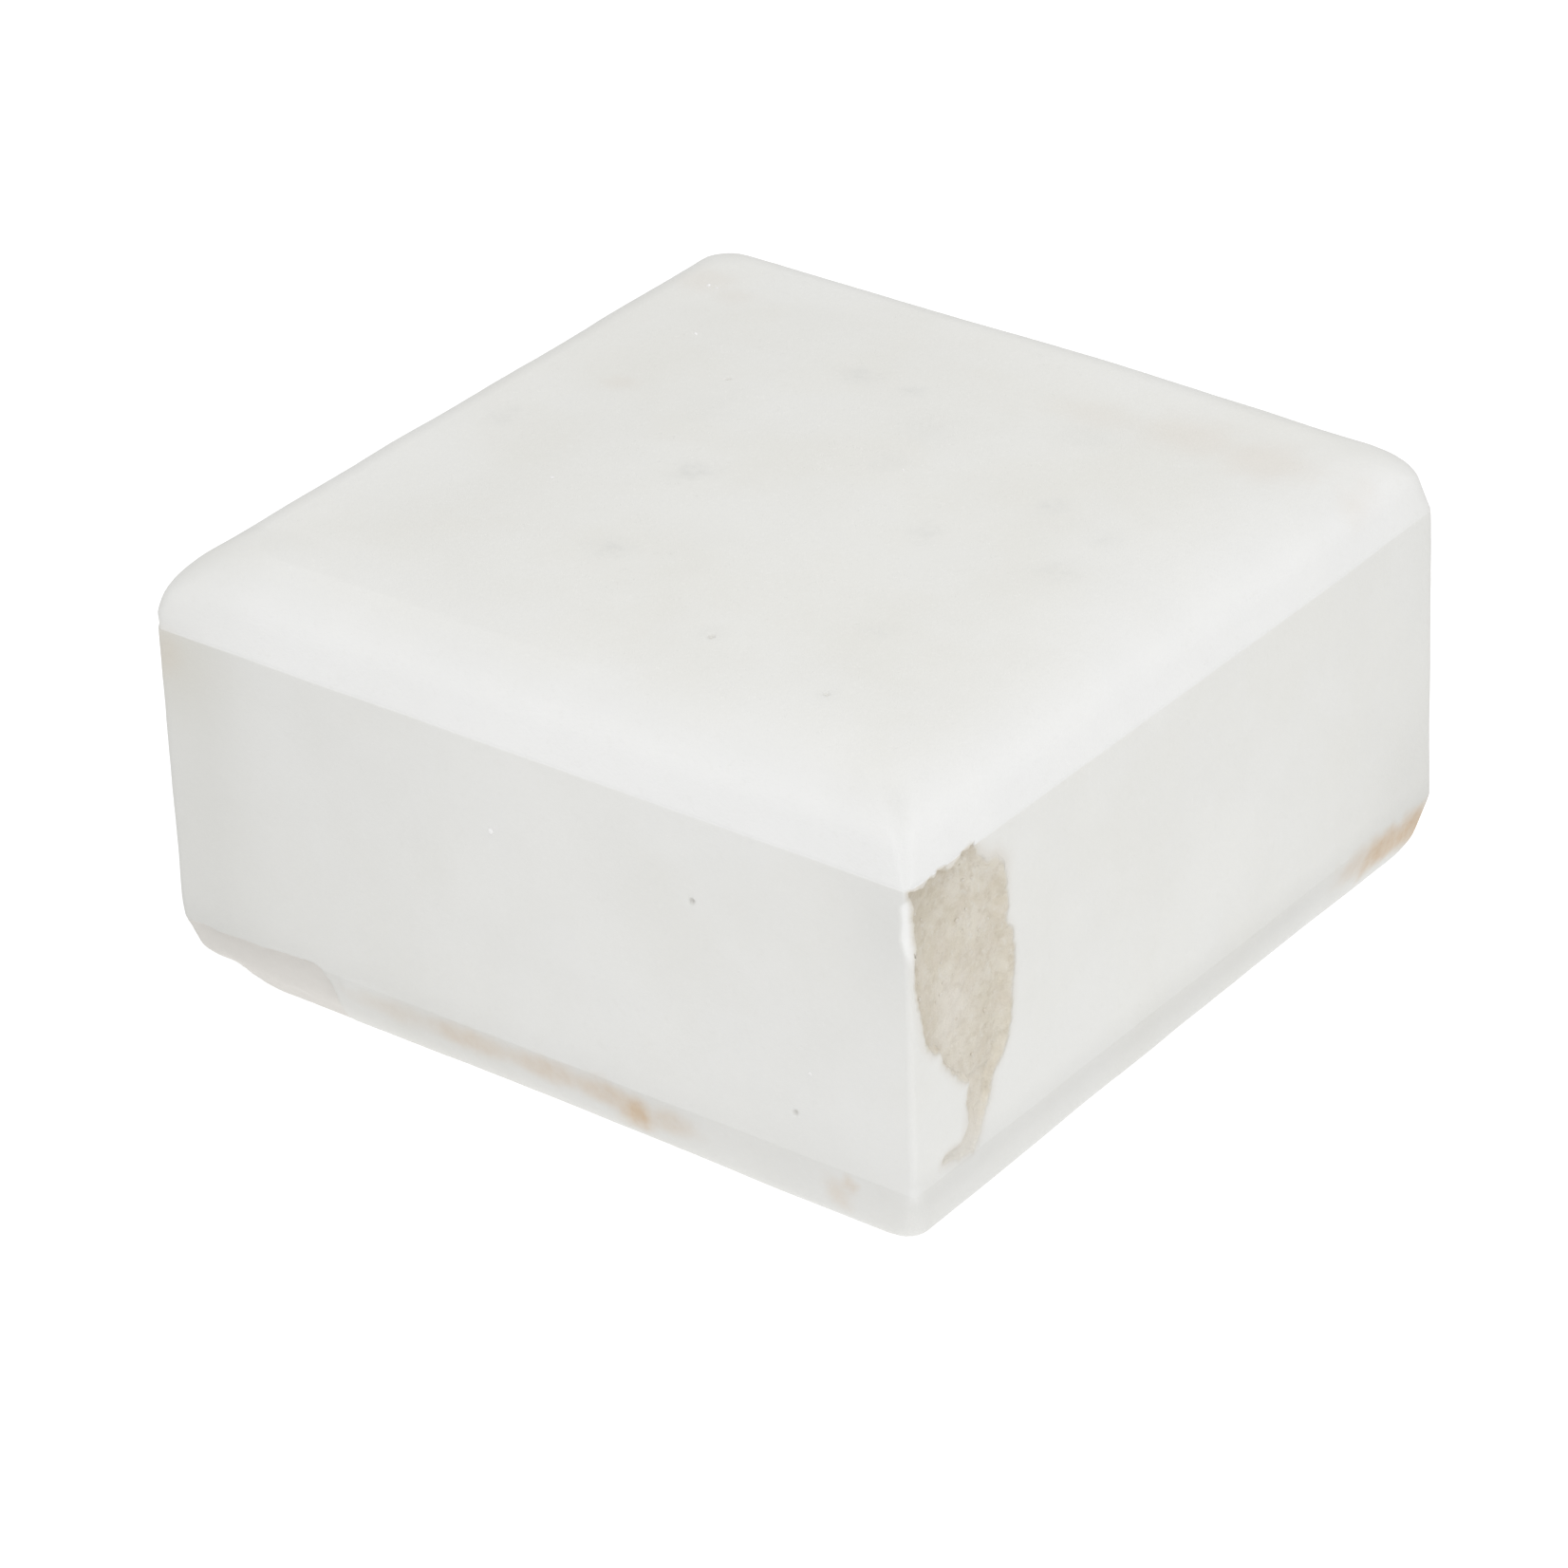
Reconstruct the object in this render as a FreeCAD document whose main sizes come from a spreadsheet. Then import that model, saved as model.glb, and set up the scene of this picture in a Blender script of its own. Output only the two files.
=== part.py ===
import FreeCAD, Part
import os
import Sketcher

# Gymnastics chalk block: one square tablet of magnesium carbonate, pressed between two shallow
# square cups inside a square die, with the loose grains that cling in its broken corner.
#
# Frame: millimetres, +Z up, origin at the centre of the lower flat face's plane.
# The front side wall faces -Y. The broken corner is the upright edge at +X, -Y, and its scar
# lies on the +X side wall.

os.makedirs("parts", exist_ok=True)

doc = FreeCAD.newDocument("ChalkBlock")

# ---------------------------------------------------------------------------------------------
# Driving dimensions
# ---------------------------------------------------------------------------------------------
sheet = doc.addObject("Spreadsheet::Sheet", "Sizes")
row_count = 0


def cell(alias, value):
    """One named cell holding a plain number."""
    global row_count
    row_count += 1
    address = "B%d" % row_count
    sheet.set("A%d" % row_count, alias)
    sheet.set(address, repr(float(value)))
    sheet.setAlias(address, alias)


cell("block_side", 50.8)        # square plan, 2 in
cell("block_height", 27.6)      # overall
cell("cup_height", 4.6)         # bevelled rim pressed by each punch cup
cell("cup_inset", 0.98)         # how far the bevel leans in before the shoulder is rounded
cell("arris_radius", 0.6)       # upright edges, the corners of the die, and the bevels' mitres
cell("shoulder_radius", 3.4)    # soft turn from bevel to flat face
cell("scar_depth", 1.15)        # break beside the near upright edge
cell("scar_floor", 0.72)        # size of the scar's floor over its mouth
cell("scar_start", 0.25)        # the cutting shape starts this far outside the wall
cell("tail_depth", 0.5)         # narrow runner below the scar
cell("chip_length", 11.1)       # broken lower front edge, from the left wall
cell("chip_start", 0.2)

# The scar's mouth: distance from the near upright edge, and height above the bottom.
scar = [(0.22, 23.18), (2.50, 23.08), (3.25, 23.20), (4.50, 23.06), (5.60, 23.14), (6.75, 21.76),
        (8.20, 20.63), (8.60, 19.04), (8.65, 17.36), (9.25, 15.58), (9.20, 13.11), (8.80, 11.03),
        (7.90, 9.35), (6.60, 8.46), (5.00, 9.15), (3.70, 10.24), (2.80, 11.72), (1.35, 13.35),
        (0.95, 15.09), (0.50, 17.06), (0.25, 20.33)]
for i, (u, v) in enumerate(scar):
    cell("scar_along_%02d" % i, u)
    cell("scar_up_%02d" % i, v)
cell("scar_mid_along", 4.6)
cell("scar_mid_up", 16.67)

# The runner below it, ending in a hook along the lower arris.
tail = [(7.40, 10.14), (7.05, 8.56), (6.75, 7.32), (6.05, 6.23), (5.60, 5.19), (5.15, 4.72),
        (3.80, 5.00), (2.60, 5.39), (3.15, 5.74), (4.50, 5.79), (4.85, 7.47), (5.15, 10.14)]
for i, (u, v) in enumerate(tail):
    cell("tail_along_%02d" % i, u)
    cell("tail_up_%02d" % i, v)

# Section of the chip along the lower front edge: distance in from the front wall (plus 1) and
# height above the bottom (plus 1), so that every number is positive.
chip = [(0.30, 5.90), (1.20, 5.90), (1.42, 5.30), (2.05, 1.95), (3.20, 0.70), (0.30, 0.70)]
for i, (u, v) in enumerate(chip):
    cell("chip_in_%02d" % i, u)
    cell("chip_up_%02d" % i, v)

# Grains lodged on the scar's floor: distance from the near edge, height, size, and three turns.
grains = [(2.10, 20.63, 0.82, 20, 35, 10), (3.60, 20.33, 0.66, 60, 15, 40),
          (5.10, 20.82, 0.58, 10, 50, 25), (2.00, 18.75, 0.72, 75, 30, 5),
          (4.20, 18.65, 0.95, 35, 20, 65), (6.50, 19.24, 0.62, 50, 45, 15),
          (2.90, 16.67, 0.80, 15, 65, 30), (5.60, 16.87, 0.68, 80, 10, 55),
          (7.20, 16.37, 0.55, 25, 40, 70), (2.30, 14.79, 0.60, 55, 25, 20),
          (4.40, 14.49, 0.84, 5, 55, 45), (6.40, 13.70, 0.72, 70, 35, 60),
          (3.80, 12.42, 0.64, 30, 15, 10), (5.40, 11.92, 0.76, 45, 60, 35),
          (7.00, 17.95, 0.50, 65, 20, 50), (3.70, 15.58, 0.52, 15, 80, 25)]
for i, (u, v, size, a, b, c) in enumerate(grains):
    cell("grain_along_%02d" % i, u)
    cell("grain_up_%02d" % i, v)
    cell("grain_size_%02d" % i, size)
cell("grain_width", 0.8)        # width over length
cell("grain_thick", 0.62)       # thickness over length

doc.recompute()


# ---------------------------------------------------------------------------------------------
# Helpers
# ---------------------------------------------------------------------------------------------
def plane_of(body, role):
    for feature in body.Origin.OriginFeatures:
        if feature.Role == role:
            return feature
    raise ValueError(role)


def new_sketch(body, name, role, offsets):
    """A sketch on one of the body's own planes; offsets maps x, y, z to expressions."""
    sk = body.newObject("Sketcher::SketchObject", name)
    sk.AttachmentSupport = [(plane_of(body, role), "")]
    sk.MapMode = "FlatFace"
    for key, expression in offsets.items():
        sk.setExpression(".AttachmentOffset.Base." + key, expression)
    return sk


def bind(sk, index, expression):
    sk.setExpression("Constraints[%d]" % index, expression)


def square(sk, half_expression, half):
    """A square centred on the sketch's origin."""
    a = half
    V = FreeCAD.Vector
    corners = [V(-a, -a, 0), V(a, -a, 0), V(a, a, 0), V(-a, a, 0)]
    for i in range(4):
        sk.addGeometry(Part.LineSegment(corners[i], corners[(i + 1) % 4]), False)
    C = Sketcher.Constraint
    for i in range(4):
        sk.addConstraint(C("Coincident", i, 2, (i + 1) % 4, 1))
    sk.addConstraint(C("Horizontal", 0))
    sk.addConstraint(C("Vertical", 1))
    sk.addConstraint(C("Horizontal", 2))
    sk.addConstraint(C("Vertical", 3))
    # Each wall sits the same distance from the origin.
    bind(sk, sk.addConstraint(C("DistanceY", 0, 1, -1, 1, a)), half_expression)
    bind(sk, sk.addConstraint(C("DistanceX", -1, 1, 1, 1, a)), half_expression)
    bind(sk, sk.addConstraint(C("DistanceY", -1, 1, 2, 1, a)), half_expression)
    bind(sk, sk.addConstraint(C("DistanceX", 3, 1, -1, 1, a)), half_expression)


def polygon(sk, points, expressions):
    """A closed outline; each vertex is held by its two distances from the sketch's origin."""
    V = FreeCAD.Vector
    n = len(points)
    for i in range(n):
        p = points[i]
        q = points[(i + 1) % n]
        sk.addGeometry(Part.LineSegment(V(p[0], p[1], 0), V(q[0], q[1], 0)), False)
    C = Sketcher.Constraint
    for i in range(n):
        sk.addConstraint(C("Coincident", i, 2, (i + 1) % n, 1))
    for i in range(n):
        k = sk.addConstraint(C("DistanceX", -1, 1, i, 1, points[i][0]))
        bind(sk, k, expressions[i][0])
        k = sk.addConstraint(C("DistanceY", -1, 1, i, 1, points[i][1]))
        bind(sk, k, expressions[i][1])


# ---------------------------------------------------------------------------------------------
# pressed_block: the tablet itself
# ---------------------------------------------------------------------------------------------
block = doc.addObject("PartDesign::Body", "PressedBlock")
block.Label = "pressed_block"

side = sheet.block_side
height = sheet.block_height
cup = sheet.cup_height
inset = sheet.cup_inset

# The upright band, formed by the die's wall.
band_outline = new_sketch(block, "BandOutline", "XY_Plane", {"z": "Sizes.cup_height"})
square(band_outline, "Sizes.block_side / 2", side / 2)
band = block.newObject("PartDesign::Pad", "DieBand")
band.Profile = band_outline
band.setExpression("Length", "Sizes.block_height - 2 * Sizes.cup_height")
doc.recompute()

# The two punch cups: a bevelled rim above and below the band.
for word, root_z, rim_z in (("Upper", "Sizes.block_height - Sizes.cup_height", "Sizes.block_height"),
                            ("Lower", "Sizes.cup_height", None)):
    root = new_sketch(block, word + "CupRoot", "XY_Plane", {"z": root_z})
    square(root, "Sizes.block_side / 2", side / 2)
    rim = new_sketch(block, word + "CupRim", "XY_Plane", {"z": rim_z} if rim_z else {})
    square(rim, "Sizes.block_side / 2 - Sizes.cup_inset", side / 2 - inset)
    doc.recompute()
    loft = block.newObject("PartDesign::AdditiveLoft", word + "Cup")
    loft.Profile = root
    loft.Sections = [rim]
    loft.Ruled = True
    doc.recompute()

# Soft shoulders where each bevel meets its flat face.
tip = block.Tip
rim_edges = []
for i, edge in enumerate(tip.Shape.Edges):
    box = edge.BoundBox
    if abs(box.ZMax - box.ZMin) < 1e-6 and (abs(box.ZMin) < 1e-6 or abs(box.ZMin - height) < 1e-6):
        rim_edges.append("Edge%d" % (i + 1))
shoulders = block.newObject("PartDesign::Fillet", "SoftShoulders")
shoulders.Base = (tip, rim_edges)
shoulders.setExpression("Radius", "Sizes.shoulder_radius")
doc.recompute()

# The upright edges and the mitres between neighbouring bevels, eased by a small radius.
upright_edges = []
for i, edge in enumerate(shoulders.Shape.Edges):
    box = edge.BoundBox
    if box.ZMax - box.ZMin > 1.0:
        upright_edges.append("Edge%d" % (i + 1))
arrises = block.newObject("PartDesign::Fillet", "EasedArrises")
arrises.Base = (shoulders, upright_edges)
arrises.setExpression("Radius", "Sizes.arris_radius")
doc.recompute()

# The scar on the +X wall beside the near upright edge: a dish with a crumbled outline.
mouth = new_sketch(block, "ScarMouth", "YZ_Plane",
                   {"x": "-Sizes.block_side / 2", "z": "Sizes.block_side / 2 + Sizes.scar_start"})
floor = new_sketch(block, "ScarFloor", "YZ_Plane",
                   {"x": "-Sizes.block_side / 2", "z": "Sizes.block_side / 2 - Sizes.scar_depth"})
mid = (sheet.scar_mid_along, sheet.scar_mid_up)
ratio = sheet.scar_floor
polygon(mouth, scar, [("Sizes.scar_along_%02d" % i, "Sizes.scar_up_%02d" % i) for i in range(len(scar))])
polygon(floor, [(mid[0] + (u - mid[0]) * ratio, mid[1] + (v - mid[1]) * ratio) for u, v in scar],
        [("Sizes.scar_mid_along + (Sizes.scar_along_%02d - Sizes.scar_mid_along) * Sizes.scar_floor" % i,
          "Sizes.scar_mid_up + (Sizes.scar_up_%02d - Sizes.scar_mid_up) * Sizes.scar_floor" % i)
         for i in range(len(scar))])
doc.recompute()
dish = block.newObject("PartDesign::SubtractiveLoft", "ScarDish")
dish.Profile = mouth
dish.Sections = [floor]
dish.Ruled = True
doc.recompute()

# The narrow runner below the scar.
tail_outline = new_sketch(block, "ScarTail", "YZ_Plane",
                          {"x": "-Sizes.block_side / 2", "z": "Sizes.block_side / 2"})
polygon(tail_outline, tail, [("Sizes.tail_along_%02d" % i, "Sizes.tail_up_%02d" % i) for i in range(len(tail))])
runner = block.newObject("PartDesign::Pocket", "ScarRunner")
runner.Profile = tail_outline
runner.setExpression("Length", "Sizes.tail_depth")
doc.recompute()

# The chipped length of the lower front edge, from the left wall inwards.
chip_section = new_sketch(block, "ChipSection", "YZ_Plane",
                          {"x": "-Sizes.block_side / 2 - 1", "y": "-1",
                           "z": "-Sizes.block_side / 2 - Sizes.chip_start"})
polygon(chip_section, chip, [("Sizes.chip_in_%02d" % i, "Sizes.chip_up_%02d" % i) for i in range(len(chip))])
before = block.Shape.Volume
edge_chip = block.newObject("PartDesign::Pocket", "EdgeChip")
edge_chip.Profile = chip_section
edge_chip.setExpression("Length", "Sizes.chip_length + Sizes.chip_start")
edge_chip.Reversed = True
doc.recompute()
print("chip removed", round(before - block.Shape.Volume, 2), "mm3")

block.Placement = FreeCAD.Placement(FreeCAD.Vector(0, 0, 0), FreeCAD.Rotation())

# ---------------------------------------------------------------------------------------------
# clinging_crumbs: separate grains lodged on the scar's floor
# ---------------------------------------------------------------------------------------------
grain_boxes = []
for i, (u, v, size, a, b, c) in enumerate(grains):
    grain = doc.addObject("Part::Box", "Grain%02d" % i)
    grain.setExpression("Length", "Sizes.grain_size_%02d" % i)
    grain.setExpression("Width", "Sizes.grain_size_%02d * Sizes.grain_width" % i)
    grain.setExpression("Height", "Sizes.grain_size_%02d * Sizes.grain_thick" % i)
    grain.Placement = FreeCAD.Placement(FreeCAD.Vector(0, 0, 0), FreeCAD.Rotation(a, b, c))
    grain.setExpression(".Placement.Base.x", "Sizes.block_side / 2 - Sizes.scar_depth - 0.1")
    grain.setExpression(".Placement.Base.y", "-Sizes.block_side / 2 + Sizes.grain_along_%02d" % i)
    grain.setExpression(".Placement.Base.z", "Sizes.grain_up_%02d" % i)
    grain_boxes.append(grain)
group = doc.addObject("Part::Compound", "GrainGroup")
group.Links = grain_boxes
crumbs = doc.addObject("Part::Cut", "ClingingCrumbs")
crumbs.Base = group
crumbs.Tool = block
crumbs.Label = "clinging_crumbs"
crumbs.Placement = FreeCAD.Placement(FreeCAD.Vector(0, 0, 0), FreeCAD.Rotation())
doc.recompute()

# ---------------------------------------------------------------------------------------------
# Checks and files
# ---------------------------------------------------------------------------------------------
for obj in doc.Objects:
    state = [str(word) for word in obj.State]
    if "Invalid" in state or "Error" in state:
        raise RuntimeError("%s is %s" % (obj.Name, state))

for part in (block, crumbs):
    shape = part.Shape
    if shape.isNull() or not shape.isValid():
        raise RuntimeError("%s has no valid shape" % part.Label)
    box = shape.BoundBox
    print(part.Label, "solids", len(shape.Solids), "faces", len(shape.Faces), "volume",
          round(shape.Volume, 3), "x", round(box.XMin, 3), round(box.XMax, 3), "y", round(box.YMin, 3),
          round(box.YMax, 3), "z", round(box.ZMin, 3), round(box.ZMax, 3))
    shape.exportStep("parts/" + part.Label + ".step")
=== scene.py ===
import bpy
import bmesh
import math
import numpy as np
from mathutils import Matrix, Vector
from mathutils.geometry import delaunay_2d_cdt


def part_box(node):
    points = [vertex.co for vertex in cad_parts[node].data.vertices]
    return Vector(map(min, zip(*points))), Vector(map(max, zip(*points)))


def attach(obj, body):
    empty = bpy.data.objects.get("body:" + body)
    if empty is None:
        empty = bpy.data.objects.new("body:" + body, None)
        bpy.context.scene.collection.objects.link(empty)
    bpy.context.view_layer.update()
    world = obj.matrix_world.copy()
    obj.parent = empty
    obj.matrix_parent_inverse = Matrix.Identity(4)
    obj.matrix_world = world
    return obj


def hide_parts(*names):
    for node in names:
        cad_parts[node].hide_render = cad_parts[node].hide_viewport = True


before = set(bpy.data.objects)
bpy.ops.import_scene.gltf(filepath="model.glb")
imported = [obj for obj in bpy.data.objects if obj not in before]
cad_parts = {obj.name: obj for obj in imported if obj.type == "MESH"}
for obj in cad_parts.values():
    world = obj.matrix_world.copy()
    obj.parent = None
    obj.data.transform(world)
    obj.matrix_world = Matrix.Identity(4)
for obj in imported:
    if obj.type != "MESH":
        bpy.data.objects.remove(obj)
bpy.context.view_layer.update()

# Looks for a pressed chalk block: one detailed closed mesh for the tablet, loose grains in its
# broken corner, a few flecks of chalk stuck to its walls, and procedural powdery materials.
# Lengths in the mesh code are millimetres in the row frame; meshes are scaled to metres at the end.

MM = 0.001

block_lo, block_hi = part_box("pressed_block")
A = (block_hi[0] - block_lo[0]) / 2 / MM          # half side, 25.4
H = block_hi[2] / MM                              # height, 27.6
CUP = 4.6                                         # height of each bevelled rim
INSET = 0.98                                      # lean of the bevel before its shoulder
SHOULDER = 3.4                                    # radius of the soft shoulder
ZB, ZT = CUP, H - CUP                             # lower and upper arris


# ------------------------------------------------------------------------------- noise in numpy
def hash3(i, j, k, seed):
    def u(a):
        return (a.astype(np.int64) & 0xFFFFFFFF).astype(np.uint32)
    with np.errstate(over="ignore"):
        h = u(i) * np.uint32(374761393) ^ u(j) * np.uint32(668265263) ^ u(k) * np.uint32(2246822519)
        h ^= np.uint32((seed * 3266489917 + 374761393) & 0xFFFFFFFF)
        h ^= h >> np.uint32(15)
        h *= np.uint32(2246822519)
        h ^= h >> np.uint32(13)
        h *= np.uint32(3266489917)
        h ^= h >> np.uint32(16)
    return h


def unit(h):
    return h.astype(np.float64) / 4294967295.0


def gradient_noise(p, size, seed):
    """Smooth noise of about -1 to 1 whose features are size mm wide."""
    q = p / size + 0.37 * seed
    base = np.floor(q)
    f = q - base
    base = base.astype(np.int64)
    w = f * f * f * (f * (f * 6 - 15) + 10)
    out = np.zeros(len(p))
    for dx in (0, 1):
        for dy in (0, 1):
            for dz in (0, 1):
                h = hash3(base[:, 0] + dx, base[:, 1] + dy, base[:, 2] + dz, seed)
                g = np.stack([unit(h) * 2 - 1,
                              unit(h * np.uint32(2654435761)) * 2 - 1,
                              unit(h * np.uint32(2246822507)) * 2 - 1], 1)
                dot = ((f - np.array([dx, dy, dz])) * g).sum(1)
                wx = w[:, 0] if dx else 1 - w[:, 0]
                wy = w[:, 1] if dy else 1 - w[:, 1]
                wz = w[:, 2] if dz else 1 - w[:, 2]
                out += dot * wx * wy * wz
    return out * 1.7


def fractal(p, size, seed, octaves=3, gain=0.5):
    total = np.zeros(len(p))
    amp = 1.0
    for o in range(octaves):
        total += amp * gradient_noise(p, size / 2 ** o, seed + 17 * o)
        amp *= gain
    return total


def cells(p, size, seed):
    """Distance to the nearest and second nearest scattered point, over size, and the nearest one's own random value."""
    q = p / size
    base = np.floor(q).astype(np.int64)
    d1 = np.full(len(p), 9.0)
    d2 = np.full(len(p), 9.0)
    own = np.zeros(len(p))
    for dx in (-1, 0, 1):
        for dy in (-1, 0, 1):
            for dz in (-1, 0, 1):
                c = base + np.array([dx, dy, dz])
                h = hash3(c[:, 0], c[:, 1], c[:, 2], seed)
                site = c + np.stack([unit(h), unit(h * np.uint32(2654435761)), unit(h * np.uint32(2246822507))], 1)
                d = np.linalg.norm(q - site, axis=1)
                value = unit(h * np.uint32(3266489917))
                nearer = d < d1
                d2 = np.where(nearer, d1, np.minimum(d2, d))
                own = np.where(nearer, value, own)
                d1 = np.where(nearer, d, d1)
    return d1, d2, own


def smooth(x, lo, hi):
    t = np.clip((x - lo) / (hi - lo), 0, 1)
    return t * t * (3 - 2 * t)


def bump(d, width):
    return np.exp(-(d / width) ** 2)


def inside_distance(points, outline):
    """Signed distance from each 2-D point to a closed outline, positive inside."""
    poly = np.array(outline, float)
    nxt = np.roll(poly, -1, 0)
    best = np.full(len(points), 1e9)
    odd = np.zeros(len(points), bool)
    for a, b in zip(poly, nxt):
        e = b - a
        t = np.clip(((points - a) @ e) / (e @ e), 0, 1)
        best = np.minimum(best, np.linalg.norm(points - (a + t[:, None] * e), axis=1))
        crosses = (a[1] > points[:, 1]) != (b[1] > points[:, 1])
        with np.errstate(divide="ignore", invalid="ignore"):
            xi = a[0] + (points[:, 1] - a[1]) * (b[0] - a[0]) / (b[1] - a[1])
        odd ^= crosses & (points[:, 0] < xi)
    return np.where(odd, best, -best)


# --------------------------------------------------------------------- features, in millimetres
# The broken corner's scar on the +X wall: (distance from the near upright edge, height).
SCAR = [(0.20, 22.92), (1.30, 22.82), (2.45, 22.76), (2.60, 23.02), (3.25, 22.96), (3.60, 22.70), (4.50, 22.76),
        (4.80, 23.06), (5.60, 23.00), (6.10, 22.26), (6.75, 21.62), (7.60, 21.37), (8.30, 20.58), (8.55, 19.34),
        (8.60, 18.05), (8.45, 17.36), (9.00, 16.08), (9.06, 14.39), (8.92, 12.61), (8.66, 10.93),
        (8.25, 9.74), (7.70, 9.10), (7.10, 8.56), (6.80, 7.37), (6.10, 6.23), (5.65, 5.19),
        (5.20, 4.72), (3.80, 5.00), (2.50, 5.44), (3.10, 5.79), (4.20, 5.69), (4.60, 6.28), (4.85, 7.47),
        (5.05, 9.15), (4.40, 9.50), (3.85, 10.09), (3.30, 10.73), (2.80, 11.33), (2.60, 12.27), (1.90, 12.46),
        (1.25, 13.31), (0.95, 15.09), (0.55, 17.06), (0.45, 18.94), (0.16, 20.53)]
# The chip along the lower front edge, from the left wall: (x, height).
CHIP = [(-26.5, 4.72), (-21.5, 4.62), (-17.8, 4.78), (-15.6, 4.90), (-14.95, 4.62), (-14.50, 4.05), (-14.20, 3.13),
        (-14.00, 2.02), (-13.90, 0.18), (-26.5, 0.18)]
# Pinholes: (x, y, z, radius, depth).
PITS = [(5.8, -15.8, H, 0.24, 0.14), (14.6, -17.5, H, 0.18, 0.12), (13.1, -24.5, 23.92, 0.20, 0.14),
        (11.4, -A, 17.85, 0.20, 0.16), (17.75, -A, 7.15, 0.20, 0.12), (-11.8, 8.8, H, 0.18, 0.14),
        (-A, 6.0, 11.52, 0.24, 0.2), (-3.0, A, 15.48, 0.22, 0.2), (9.0, A, 9.05, 0.2, 0.18)]
# Flecks of chalk stuck to the faces: (x, y, z, size).
FLECKS = [(-2.24, -A, 17.67, 0.22), (18.90, -A, 9.90, 0.16), (-16.9, 12.6, H, 0.20), (-20.7, 18.0, H, 0.17),
          (-20.2, 18.3, H, 0.13), (-19.7, 18.5, H, 0.12), 
          (-A, -9.0, 14.99, 0.26), (12.2, A, 17.06, 0.24), (2.9, 4.9, H, 0.15), (-12.3, -6.5, H, 0.16),
          (-9.0, A, 7.67, 0.2)]
# Grey smudges on the upper face: (x, y, radius, strength).
SMUDGES = [(-6.5, -1.4, 1.5, 0.8), (-4.8, -11.0, 1.5, 0.6), (-5.8, 13.1, 1.3, 0.7), (-2.2, 13.2, 0.9, 0.7),
           (1.8, 5.5, 1.4, 0.35), (12.3, 6.2, 1.1, 0.6), (8.3, -0.2, 1.3, 0.45), (16.8, 0.2, 1.4, 0.45),
           (16.9, 4.7, 1.2, 0.35), (-19.7, -1.7, 1.4, 0.5), (5.8, -15.6, 0.9, 0.5), (12.8, -10.7, 1.3, 0.3),
           (1.1, 9.9, 2.2, 0.25), (-10.3, 5.5, 2.5, 0.2), (14.6, -17.4, 0.8, 0.4), (9.2, 13.9, 1.8, 0.3)]
# Warm stains: (x, y, z, radius along, radius up, strength).
STAINS = [(6.7, -24.6, 3.10, 1.5, 1.5, 1.0), (5.0, -24.6, 3.5, 3.2, 1.1, 0.56), (0.5, -24.6, 3.6, 4.0, 1.0, 0.48),
          (-4.5, -24.6, 3.6, 4.0, 1.0, 0.42), (-10.0, -24.6, 3.6, 3.4, 0.9, 0.22), (9.2, -24.6, 3.3, 2.2, 1.0, 0.42),
          (21.05, -24.8, 4.00, 0.65, 1.0, 0.62), (20.1, -24.7, 3.0, 1.0, 1.2, 0.35),
          (24.4, 23.6, 3.3, 3.4, 1.6, 1.0), (24.5, 20.0, 3.5, 3.2, 1.4, 1.0), (24.5, 17.6, 3.7, 3.0, 1.2, 0.48),
          (-25.0, -A, 21.6, 1.6, 1.8, 0.16),
          (14.0, 17.6, H, 4.0, 2.4, 0.26), (8.2, 16.8, H, 3.4, 2.0, 0.16), (18.8, 17.4, H, 3.4, 2.6, 0.30),
          (23.0, 18.5, 25.58, 2.4, 2.0, 0.14), (-16.8, 5.2, H, 1.3, 1.0, 0.22), (-21.0, 18.6, H, 2.2, 1.7, 0.22),
          (-18.4, 17.8, H, 1.4, 1.2, 0.17), (-24.6, 12.0, 2.94, 3.0, 1.3, 0.4), (-8.0, 24.6, 3.13, 4.0, 1.2, 0.4),
          (14.0, 24.6, 2.76, 2.4, 1.3, 0.5), (-24.6, -14.0, 3.31, 2.0, 1.2, 0.3)]


# --------------------------------------------------------------------------- the tablet's mesh
def spaced(length, fine, coarse, growth=1.3):
    """Distances from 0 to length: fine near both ends, coarse between."""
    steps, d, x = [], fine, 0.0
    while d < coarse and x + d < length / 2:
        steps.append(d)
        x += d
        d *= growth
    middle = max(1, int(round((length - 2 * x) / coarse)))
    seq = steps + [(length - 2 * x) / middle] * middle + steps[::-1]
    out = np.concatenate([[0.0], np.cumsum(seq)])
    return out * (length / out[-1])


def profile():
    """(inset from the wall, height, plan corner radius) from the upper arris up to the flat's edge."""
    al = math.atan2(CUP, INSET)
    tangent = SHOULDER * math.tan(al / 2)
    rim_in = INSET + tangent
    start_in = rim_in - SHOULDER * math.sin(al)
    start_z = CUP - SHOULDER + SHOULDER * math.cos(al)
    length = math.hypot(start_in, start_z)
    pts = []
    for s in list(spaced(length, 0.14, 0.34))[1:]:
        if s < 0.1:
            continue
        k = s / length
        pts.append((start_in * k, start_z * k, 0.45 + 0.40 * k))
    for phi in np.linspace(al, 0, 17)[1:]:
        k = 1 - phi / al
        pts.append((rim_in - SHOULDER * math.sin(phi), CUP - SHOULDER + SHOULDER * math.cos(phi),
                    0.85 + 1.55 * k ** 1.2))
    return pts


cup = profile()
rings = []
for inset, up, radius in reversed(cup):
    rings.append((inset, CUP - up, radius))
rings.append((0.030, ZB - 0.085, 0.45))
rings.append((0.008, ZB, 0.42))
for s in spaced(ZT - ZB - 0.17, 0.12, 0.46):
    rings.append((0.0, ZB + 0.085 + s, 0.40))
rings.append((0.008, ZT, 0.42))
rings.append((0.030, ZT + 0.085, 0.45))
for inset, up, radius in cup:
    rings.append((inset, ZT + up, radius))

ARC = 6
along = spaced(1.0 * (2 * A - 0.8), 0.15, 0.49) / (2 * A - 0.8)


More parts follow.
